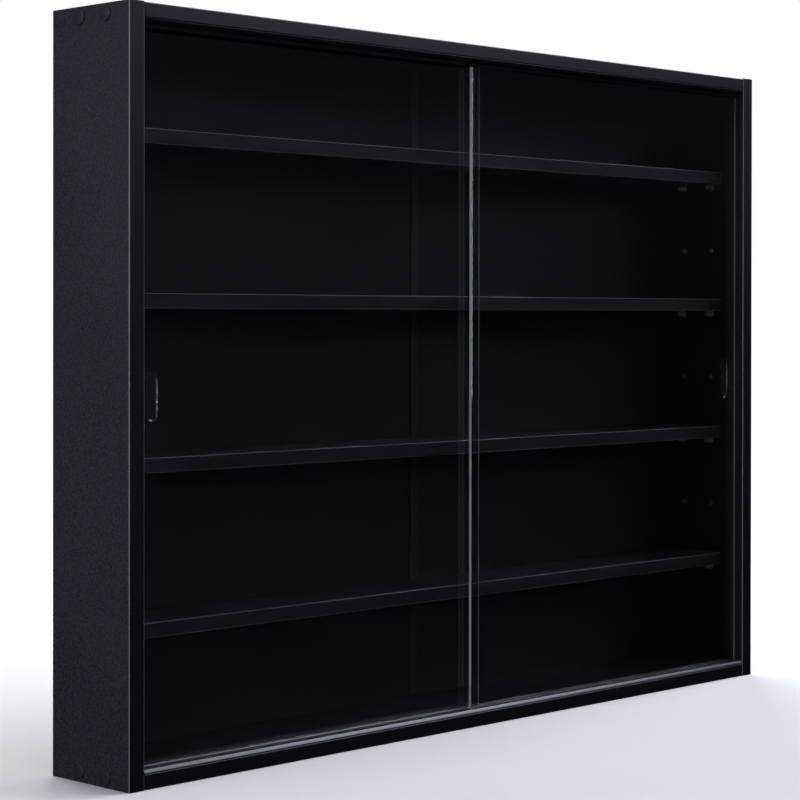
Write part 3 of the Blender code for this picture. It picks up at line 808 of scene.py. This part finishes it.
track = {
    "play": 0.5 * mm,              # on each side of the glass in its groove
    "rib": 1.5 * mm,
    "base": 0.9 * mm,
    "noseFoot": 0.8 * mm,          # upright part of the nose, under its slope
    "noseLean": 1.4 * mm,          # how far the slope leans back
    "noseRound": 0.4 * mm,         # where the slope turns into the flat top
    "rootRadius": 0.35 * mm,       # in the corners of a groove
    "arris": 0.1 * mm,
}


def trackOutline(seat, nose, ribEnd, up):
    # end view as (y, z); up is 1 where the ribs point up and -1 where they hang down
    rib, root, soft = track["rib"], track["rootRadius"], track["noseRound"]
    floor = seat + up * track["base"]
    grooves = []
    for node in ("glass_door_right", "glass_door_left"):
        low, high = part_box(node)
        grooves.append((low.y - track["play"], high.y + track["play"]))
    outline = [(front, seat), (front, seat + up * track["noseFoot"])]
    bend = (front + track["noseLean"] + soft, nose - up * soft)
    outline += arcPoints(bend, soft, 180 - 30 * up, 180 - 90 * up)
    tips = [grooves[0][0] - rib / 2, grooves[1][0] - rib / 2, grooves[1][1] + rib / 2]
    for number, tip in enumerate(tips):
        if number == 0:
            outline.append((tip - rib / 2, nose))
        else:
            outline += arcPoints((tip - rib / 2 - root, floor + up * root), root, -90 * up, 0, 4)
        outline += arcPoints((tip, ribEnd - up * rib / 2), rib / 2, 180, 180 - 180 * up, 10)
        if number < 2:
            outline += arcPoints((tip + rib / 2 + root, floor + up * root), root, 180, 180 + 90 * up, 4)
        else:
            outline.append((tip + rib / 2, seat))
    return outline


def buildTracks():
    topTrackLow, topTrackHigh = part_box("top_track")
    outlines = {
        "bottom_track": trackOutline(trackLow.z, bottomHigh.z, trackHigh.z, 1),
        "top_track": trackOutline(topTrackHigh.z, topLow.z, topTrackLow.z, -1),
    }
    for name, outline in outlines.items():
        bm = bmesh.new()
        addExtrusion(bm, outline, "X", trackLow.x, trackHigh.x)
        piece = makePiece(name + "_profile", bm, [trackFinish], track["arris"], 2)
        settle(piece, [name])


buildTracks()
print("tracks ready")


# glass doors

glass = {
    "arris": 0.6 * mm,
    "pullLength": 40 * mm,
    "pullWidth": 12 * mm,
    "pullDepth": 1.5 * mm,
    "pullEdgeDistance": 19 * mm,   # from the door's outer edge to the middle of the pull
    "pullSteps": 16,
    "pullSides": 96,
}


def pullTool(middleX, faceY, middleZ):
    # a round-nosed grinding wheel's path: a long hollow with round ends
    half = glass["pullWidth"] / 2
    radius = (half ** 2 + glass["pullDepth"] ** 2) / (2 * glass["pullDepth"])
    straight = (glass["pullLength"] - glass["pullWidth"]) / 2
    upper = [(along, away) for away, along in arcPoints((0, straight), radius, 90, 0, glass["pullSteps"])]
    lower = [(along, away) for away, along in arcPoints((0, -straight), radius, 0, -90, glass["pullSteps"])]
    cutter = bmesh.new()
    place = Matrix.Translation((middleX, faceY - radius + glass["pullDepth"], middleZ))
    turn = Matrix.Rotation(math.radians(-90), 4, "Y")
    addTurned(cutter, upper + lower, glass["pullSides"], place @ turn)
    return cutter


def buildDoors():
    for label, sign in (("left", -1), ("right", 1)):
        node = "glass_door_" + label
        low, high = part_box(node)
        outer = low.x if sign < 0 else high.x
        bm = bmesh.new()
        addBox(bm, low, high)
        tool = pullTool(outer - sign * glass["pullEdgeDistance"], low.y, (low.z + high.z) / 2)
        pane = makePiece("glass_pane_" + label, bm, [glassFinish], glass["arris"], 1, cutter=tool,
                cutterFinish=1)
        edges, pulls = [], []      # the flats of the ground edges, and the hollow
        for face in pane.data.polygons:
            sunk = face.material_index == 1
            pulls.append(1.0 if sunk else 0.0)
            edges.append(1.0 if abs(face.normal.y) < 0.3 and not sunk else 0.0)
            face.material_index = 0
        pane.data.attributes.new("groundEdge", "FLOAT", "FACE").data.foreach_set("value", edges)
        pane.data.attributes.new("polishedPull", "FLOAT", "FACE").data.foreach_set("value", pulls)
        settle(pane, [node], body=label + "_door")


buildDoors()
print("glass doors ready")


# pins, screws, caps and nails: one master each, repeated by Geometry Nodes

def startTree(name, inputs):
    tree = bpy.data.node_groups.new(name, "GeometryNodeTree")
    for label, kind in inputs.items():
        tree.interface.new_socket(name=label, in_out="INPUT", socket_type="NodeSocket" + kind)
    tree.interface.new_socket(name="Geometry", in_out="OUTPUT", socket_type="NodeSocketGeometry")
    return tree, addNode(tree, "NodeGroupInput").outputs


def endTree(tree, instances, finish):
    real = addNode(tree, "GeometryNodeRealizeInstances", {0: instances})
    finished = addNode(tree, "GeometryNodeSetMaterial", {"Geometry": real.outputs[0], "Material": finish})
    addNode(tree, "NodeGroupOutput", {0: finished.outputs[0]})
    return tree


def scatterTree():
    # copies a piece over rows and columns on the left and the right of the cabinet
    tree, given = startTree("hardwareBothSides", {
        "Piece": "Object", "Rows": "Int", "Row Pitch": "Float", "Columns": "Int", "Column Step": "Vector",
        "First Place": "Vector", "Left Turn": "Vector", "Right Turn": "Vector", "Random Twist": "Float",
        "Seed": "Int", "Finish": "Material"})
    columns = addNode(tree, "GeometryNodeMeshLine", {
        "Count": given["Columns"], "Start Location": given["First Place"], "Offset": given["Column Step"]})
    upwards = addNode(tree, "ShaderNodeCombineXYZ", {"Z": given["Row Pitch"]})
    rows = addNode(tree, "GeometryNodeMeshLine", {"Count": given["Rows"], "Offset": upwards.outputs[0]})
    grid = addNode(tree, "GeometryNodeInstanceOnPoints", {
        "Points": columns.outputs[0], "Instance": rows.outputs[0]})
    spots = addNode(tree, "GeometryNodeRealizeInstances", {0: grid.outputs[0]})
    mirrored = addNode(tree, "GeometryNodeTransform", {"Geometry": spots.outputs[0], "Scale": (-1, 1, 1)})
    master = addNode(tree, "GeometryNodeObjectInfo", {"Object": given["Piece"], "As Instance": True})
    joined = addNode(tree, "GeometryNodeJoinGeometry")
    bothSets = ((mirrored.outputs[0], given["Left Turn"], 0), (spots.outputs[0], given["Right Turn"], 100))
    for points, turn, seedShift in bothSets:
        copies = addNode(tree, "GeometryNodeInstanceOnPoints", {
            "Points": points, "Instance": master.outputs["Geometry"], "Rotation": turn})
        seed = addNode(tree, "ShaderNodeMath", {0: given["Seed"], 1: float(seedShift)}, operation="ADD")
        chance = addNode(tree, "FunctionNodeRandomValue", {
            "Max": given["Random Twist"], "Seed": seed.outputs[0]}, data_type="FLOAT")
        twist = addNode(tree, "ShaderNodeCombineXYZ", {
            "X": [out for out in chance.outputs if out.enabled][0]})
        turned = addNode(tree, "GeometryNodeRotateInstances", {
            "Instances": copies.outputs[0], "Rotation": twist.outputs[0], "Local Space": True})
        tree.links.new(turned.outputs[0], joined.inputs[0])
    return endTree(tree, joined.outputs[0], given["Finish"])


def nailTree():
    # nails at a steady spacing round the back, left out where a hanger plate or the strip lies
    tree, given = startTree("nailsRoundBack", {
        "Nail": "Object", "Width": "Float", "Height": "Float", "Middle": "Vector", "Spacing": "Float",
        "Plate Place": "Float", "Plate Room": "Float", "Plate Bottom": "Float", "Strip Room": "Float",
        "Tilt": "Float", "Seed": "Int", "Finish": "Material"})
    border = addNode(tree, "GeometryNodeCurvePrimitiveQuadrilateral", {
        "Width": given["Width"], "Height": given["Height"]})
    upright = addNode(tree, "GeometryNodeTransform", {
        "Geometry": border.outputs[0], "Translation": given["Middle"], "Rotation": (math.pi / 2, 0, 0)})
    spaced = addNode(tree, "GeometryNodeResampleCurve", {
        "Curve": upright.outputs[0], "Length": given["Spacing"]}, mode="LENGTH")
    where = addNode(tree, "GeometryNodeInputPosition")
    parts = addNode(tree, "ShaderNodeSeparateXYZ", {0: where.outputs[0]})
    away = addNode(tree, "ShaderNodeMath", {0: parts.outputs["X"]}, operation="ABSOLUTE")
    nearPlate = addNode(tree, "ShaderNodeMath", {
        0: away.outputs[0], 1: given["Plate Place"], 2: given["Plate Room"]}, operation="COMPARE")
    high = addNode(tree, "ShaderNodeMath", {
        0: parts.outputs["Z"], 1: given["Plate Bottom"]}, operation="GREATER_THAN")
    underPlate = addNode(tree, "ShaderNodeMath", {
        0: nearPlate.outputs[0], 1: high.outputs[0]}, operation="MULTIPLY")
    nearStrip = addNode(tree, "ShaderNodeMath", {
        0: away.outputs[0], 1: given["Strip Room"]}, operation="LESS_THAN")
    blocked = addNode(tree, "ShaderNodeMath", {
        0: underPlate.outputs[0], 1: nearStrip.outputs[0]}, operation="MAXIMUM")
    points = addNode(tree, "GeometryNodeCurveToPoints", {"Curve": spaced.outputs[0]}, mode="EVALUATED")
    free = addNode(tree, "GeometryNodeDeleteGeometry", {
        "Geometry": points.outputs[0], "Selection": blocked.outputs[0]}, domain="POINT")
    least = addNode(tree, "ShaderNodeMath", {0: given["Tilt"], 1: -1.0}, operation="MULTIPLY")
    lowest = addNode(tree, "ShaderNodeCombineXYZ", {"Y": least.outputs[0], "Z": least.outputs[0]})
    highest = addNode(tree, "ShaderNodeCombineXYZ", {"Y": given["Tilt"], "Z": given["Tilt"]})
    lean = addNode(tree, "FunctionNodeRandomValue", {
        "Min": lowest.outputs[0], "Max": highest.outputs[0], "Seed": given["Seed"]}, data_type="FLOAT_VECTOR")
    nail = addNode(tree, "GeometryNodeObjectInfo", {"Object": given["Nail"], "As Instance": True})
    copies = addNode(tree, "GeometryNodeInstanceOnPoints", {
        "Points": free.outputs[0], "Instance": nail.outputs["Geometry"], "Rotation": (0, 0, -math.pi / 2)})
    leaning = addNode(tree, "GeometryNodeRotateInstances", {
        "Instances": copies.outputs[0], "Rotation": lean.outputs[0], "Local Space": True})
    return endTree(tree, leaning.outputs[0], given["Finish"])


def growPiece(name, tree, values, master):
    # runs a tree on an empty mesh and keeps the result as a plain mesh
    piece = bpy.data.objects.new(name, bpy.data.meshes.new(name))
    bpy.context.scene.collection.objects.link(piece)
    grower = piece.modifiers.new("grow", "NODES")
    grower.node_group = tree
    for item in tree.interface.items_tree:
        if item.in_out == "INPUT":
            grower[item.identifier] = values[item.name]
    freeze(piece)
    bpy.data.objects.remove(master, do_unlink=True)
    return piece


def makeMaster(name, bm, finish, angle=35):
    master = makeObject(name, bm, [finish])
    master.data.shade_smooth()
    master.data.set_sharp_from_angle(angle=math.radians(angle))
    return master


pin = {
    "insert": 8 * mm,
    "insertRadius": 2.3 * mm,
    "insertChamfer": 0.5 * mm,
    "studRadius": 2.5 * mm,
    "collarRadius": 3.5 * mm,
    "collarStart": 0.3 * mm,
    "collarThickness": 1.1 * mm,
    "studLength": 8.5 * mm,
    "tipRadius": 1.7 * mm,
    "edgeRadius": 0.2 * mm,        # of the collar and its root
    "sides": 32,
}


def pinMaster():
    # the axis runs from inside the board at -X to the stud's tip at +X
    collarEnd = pin["collarStart"] + pin["collarThickness"]
    tip = collarEnd + pin["studLength"]
    collar, stud, insert = pin["collarRadius"], pin["studRadius"], pin["insertRadius"]
    deep, lead, soft = pin["insert"], pin["insertChamfer"], pin["edgeRadius"]
    profile = [(-deep, 0), (-deep, insert - lead), (-deep + lead, insert), (pin["collarStart"], insert)]
    profile += arcPoints((pin["collarStart"] + soft, collar - soft), soft, 180, 90, 3)
    profile += arcPoints((collarEnd - soft, collar - soft), soft, 90, 0, 3)
    profile += [(collarEnd, stud + soft)]
    profile += arcPoints((collarEnd + soft, stud + soft), soft, 180, 270, 3)[1:]
    rounded = pin["tipRadius"]
    profile += arcPoints((tip - rounded, stud - rounded), rounded, 90, 0, 5)
    profile += [(tip, 0)]
    bm = bmesh.new()
    addTurned(bm, profile, pin["sides"])
    return makeMaster("pin_master", bm, pinFinish)


def nodeNames(pattern, *choices):
    names = [pattern]
    for number, choice in enumerate(choices):
        names = [name.replace("{%d}" % number, value) for name in names for value in choice]
    return names


bothSides = ("left", "right")
bothDepths = ("front", "rear")
bothLevels = ("bottom", "top")
halfTurn = (0, 0, math.pi)


def buildPins():
    frontPin, rearPin = middleOf("shelf_pin_4_right_front"), middleOf("shelf_pin_4_right_rear")
    upperPin = middleOf("shelf_pin_3_right_front")
    master = pinMaster()
    pins = growPiece("shelf_pins", bothSidesTree, {
        "Piece": master,
        "Rows": shelf["count"],
        "Row Pitch": upperPin.z - frontPin.z,
        "Columns": 2,
        "Column Step": (0, rearPin.y - frontPin.y, 0),
        "First Place": (innerX, frontPin.y, frontPin.z),
        "Left Turn": (0, 0, 0),
        "Right Turn": halfTurn,
        "Random Twist": math.tau,
        "Seed": 3,
        "Finish": pinFinish,
    }, master)
    numbers = [str(number) for number in range(1, shelf["count"] + 1)]
    settle(pins, nodeNames("shelf_pin_{0}_{1}_{2}", numbers, bothSides, bothDepths))


def addThread(bm, core, crest, pitch, start, end, sides):
    # a sharp ridge wound round the X axis, with its foot sunk in the core
    foot, halfWidth = core * 0.92, 0.32 * pitch
    steps = int((end - start) / pitch * sides)
    rings = []
    for step in range(steps + 1):
        angle = math.tau * step / sides
        along = start + pitch * step / sides
        grow = min(1, step / sides, (steps - step) / sides)
        ring = []
        for offset, radius in ((-halfWidth, foot), (0, core + (crest - core) * grow), (halfWidth, foot)):
            place = (along + offset, radius * math.cos(angle), radius * math.sin(angle))
            ring.append(bm.verts.new(place))
        rings.append(ring)
    for one, two in zip(rings, rings[1:]):
        for number in range(3):
            other = (number + 1) % 3
            bm.faces.new((one[number], two[number], two[other], one[other]))
    bm.faces.new(rings[0][::-1])
    bm.faces.new(rings[-1])


def carcaseScrewMaster():
    # head face at X = 0.3 mm, pointing along +X; a hexagonal socket in the head
    nodeLow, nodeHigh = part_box("carcase_screw_bottom_left_front")
    length = nodeHigh.x + outerX
    head = (nodeHigh.z - nodeLow.z) / 2
    shank, core = carcaseScrew["shankDiameter"] / 2, carcaseScrew["coreDiameter"] / 2
    face = nodeLow.x + outerX
    threadStart, sides = carcaseScrew["threadStart"], carcaseScrew["sides"]
    threadEnd = length - carcaseScrew["bareTip"]
    taperStart, taperEnd = threadStart - carcaseScrew["taperStart"], threadStart - carcaseScrew["taperEnd"]
    soft, rim = carcaseScrew["headChamfer"], face + carcaseScrew["headRim"]
    profile = [(face, 0), (face, head - soft), (face + soft, head), (rim, head),
            (carcaseScrew["headHeight"], shank), (taperStart, shank), (taperEnd, core),
            (length - core, core), (length, carcaseScrew["tipRadius"]), (length, 0)]
    bm = bmesh.new()
    addTurned(bm, profile, sides)
    addThread(bm, core, shank, carcaseScrew["threadPitch"], threadStart, threadEnd, sides)
    socket = bmesh.new()
    hexagon = arcPoints((0, 0), carcaseScrew["socketDiameter"] / 2, 0, 300, 5)
    addExtrusion(socket, hexagon, "X", face - mm, face + carcaseScrew["socketDepth"])
    return makePiece("carcase_screw_master", bm, [screwFinish, screwFinish], cutter=socket)


def buildScrewsAndCaps():
    lower, upper = middleOf("carcase_screw_bottom_right_front"), middleOf("carcase_screw_top_right_front")
    behind = middleOf("carcase_screw_bottom_right_rear")
    shared = {
        "Rows": 2,
        "Row Pitch": upper.z - lower.z,
        "Columns": 2,
        "Column Step": (0, behind.y - lower.y, 0),
        "First Place": (outerX, lower.y, lower.z),
        "Left Turn": (0, 0, 0),
        "Right Turn": halfTurn,
        "Random Twist": math.tau,
        "Seed": 11,
    }
    master = carcaseScrewMaster()
    screws = growPiece("carcase_screws", bothSidesTree, {**shared, "Piece": master, "Finish": screwFinish},
            master)
    settle(screws, nodeNames("carcase_screw_{0}_{1}_{2}", bothLevels, bothSides, bothDepths))
    master = capMaster()
    caps = growPiece("screw_caps", bothSidesTree, {**shared, "Piece": master, "Finish": capFinish}, master)
    settle(caps, nodeNames("screw_cap_{0}_{1}_{2}", bothLevels, bothSides, bothDepths))


cap = {
    "gap": 0.05 * mm,              # under the rim
    "edgeRadius": 0.35 * mm,
    "dome": 0.12 * mm,
    "stemRadius": 1.95 * mm,
    "stemLength": 2.4 * mm,
    "stemChamfer": 0.3 * mm,
    "sides": 48,
}


def capMaster():
    # crown towards -X, stem towards +X
    low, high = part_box("screw_cap_bottom_left_front")
    radius = (high.z - low.z) / 2
    crown = low.x + outerX
    edge = cap["edgeRadius"]
    profile = [(crown, 0), (crown + cap["dome"] * 0.25, radius * 0.5), (crown + cap["dome"], radius - edge)]
    profile += arcPoints((crown + cap["dome"] + edge, radius - edge), edge, 180, 90, 5)[1:]
    gap, stem, length, soft = cap["gap"], cap["stemRadius"], cap["stemLength"], cap["stemChamfer"]
    profile += [(-gap, radius), (-gap, stem), (length - soft, stem), (length, stem - soft), (length, 0)]
    bm = bmesh.new()
    addTurned(bm, profile, cap["sides"])
    return makeMaster("cap_master", bm, capFinish)


# wall hangers

def keyholeOutline(x, z):
    head, slot = hanger["keyholeDiameter"] / 2, hanger["slotWidth"] / 2
    corner = math.degrees(math.acos(slot / head))
    outline = arcPoints((x, z), head, corner, -180 - corner, 24)
    return outline + arcPoints((x, z + hanger["slotLength"]), slot, 180, 0, 10)


def buildHangerPlates():
    for label in bothSides:
        low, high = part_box("hanger_plate_" + label)
        radius = hanger["cornerRadius"]
        corners = ((high.x - radius, high.z - radius, 0), (low.x + radius, high.z - radius, 90),
                (low.x + radius, low.z + radius, 180), (high.x - radius, low.z + radius, 270))
        outline = []
        for x, z, start in corners:
            outline += arcPoints((x, z), radius, start, start + 90, 8)
        bm = bmesh.new()
        addExtrusion(bm, outline, "Y", low.y, high.y)
        cutter = bmesh.new()
        middle = (low.x + high.x) / 2
        keyholeZ = middleOf("hanger_screw_" + label + "_outer").z - hanger["keyholeDrop"]
        addExtrusion(cutter, keyholeOutline(middle, keyholeZ), "Y", low.y - mm, high.y + mm)
        for place in ("outer", "inner"):
            spot = middleOf("hanger_screw_" + label + "_" + place)
            countersinkTool(cutter, (spot.x, rear, spot.z))
        plate = makePiece("keyhole_plate_" + label, bm, [plateFinish, plateFinish], hanger["arris"], 2,
                cutter=cutter)
        settle(plate, ["hanger_plate_" + label])


def hangerScrewMaster():
    # countersunk, with a cross recess; head face at X = 0, pointing along +X
    head, shank = hanger["screwHead"] / 2, hanger["screwDiameter"] / 2
    length = hanger["screwLength"]
    start, core, neck = hanger["threadStart"], shank * 0.7, shank * 0.9
    profile = [(0, 0), (0, head - hanger["headChamfer"]), (hanger["headRim"], head),
            (hanger["screwHeadHeight"], neck), (hanger["neckLength"], neck), (start, core),
            (length - hanger["pointLength"], core), (length, 0)]
    bm = bmesh.new()
    addTurned(bm, profile, hanger["sides"])
    end = length - hanger["bareTip"]
    addThread(bm, core, shank, hanger["threadPitch"], start, end, hanger["threadSides"])
    recess = bmesh.new()
    arm, depth, half = hanger["recessArm"], hanger["recessDepth"], hanger["recessHalfWidth"]
    foot, above = arm * hanger["recessTaper"], -0.4 * mm
    for turn in (0, 90):
        wing = bmesh.new()
        addExtrusion(wing, [(above, -arm), (above, arm), (depth, foot), (depth, -foot)], "Z", -half, half)
        quarter = Matrix.Rotation(math.radians(turn), 3, "X")
        bmesh.ops.rotate(wing, verts=wing.verts, cent=(0, 0, 0), matrix=quarter)
        bmesh.ops.recalc_face_normals(wing, faces=wing.faces)
        joinInto(recess, wing)
    return makePiece("hanger_screw_master", bm, [screwFinish, screwFinish], cutter=recess)


def buildHangerScrews():
    inner, outer = middleOf("hanger_screw_right_inner"), middleOf("hanger_screw_right_outer")
    master = hangerScrewMaster()
    screws = growPiece("hanger_screws", bothSidesTree, {
        "Piece": master,
        "Rows": 1,
        "Row Pitch": 0.0,
        "Columns": 2,
        "Column Step": (outer.x - inner.x, 0, 0),
        "First Place": (inner.x, rear, inner.z),
        "Left Turn": (0, 0, -math.pi / 2),
        "Right Turn": (0, 0, -math.pi / 2),
        "Random Twist": math.pi / 2,
        "Seed": 5,
        "Finish": screwFinish,
    }, master)
    settle(screws, nodeNames("hanger_screw_{0}_{1}", bothSides, ("outer", "inner")))


nail = {
    "spacing": 74 * mm,
    "edgeDistance": 3.5 * mm,      # from the back panels' outer edges
    "levelInset": 2.5 * mm,        # how much further in the top and bottom rows are
    "plateRoom": 4 * mm,           # kept free beside a hanger plate
    "plateDrop": 6 * mm,           # and below it
    "stripRoom": 8 * mm,           # and on each side of the strip
    "headRadius": 1.9 * mm,
    "headThickness": 0.6 * mm,
    "shankRadius": 0.6 * mm,
    "length": 9 * mm,
    "neck": 0.2 * mm,
    "point": 1.2 * mm,
    "sides": 16,
    "tilt": 1.5,                   # degrees, because they are driven by hand
    "seed": 21,
}


def nailMaster():
    # the head's face towards -X and its point along +X
    head, shank, thick = nail["headRadius"], nail["shankRadius"], nail["headThickness"]
    domed = [(-thick, 0), (-thick, head * 0.7), (-thick * 0.75, head * 0.94), (-thick * 0.4, head)]
    profile = domed + [(0, head * 0.9), (nail["neck"], shank), (nail["length"] - nail["point"], shank),
            (nail["length"], 0)]
    bm = bmesh.new()
    addTurned(bm, profile, nail["sides"])
    return makeMaster("nail_master", bm, nailFinish)


def buildNails():
    plateLow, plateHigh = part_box("hanger_plate_right")
    inset = nail["edgeDistance"]
    master = nailMaster()
    nails = growPiece("back_nails", nailTree(), {
        "Nail": master,
        "Width": 2 * (backHigh.x - inset),
        "Height": backHigh.z - backLow.z - 2 * (inset + nail["levelInset"]),
        "Middle": (0, backHigh.y, (backLow.z + backHigh.z) / 2),
        "Spacing": nail["spacing"],
        "Plate Place": (plateLow.x + plateHigh.x) / 2,
        "Plate Room": (plateHigh.x - plateLow.x) / 2 + nail["plateRoom"],
        "Plate Bottom": plateLow.z - nail["plateDrop"],
        "Strip Room": nail["stripRoom"],
        "Tilt": math.radians(nail["tilt"]),
        "Seed": nail["seed"],
        "Finish": nailFinish,
    }, master)
    settle(nails)


bothSidesTree = scatterTree()
buildPins()
buildScrewsAndCaps()
buildHangerPlates()
buildHangerScrews()
buildNails()
print("pins, screws, caps, hangers and nails ready")
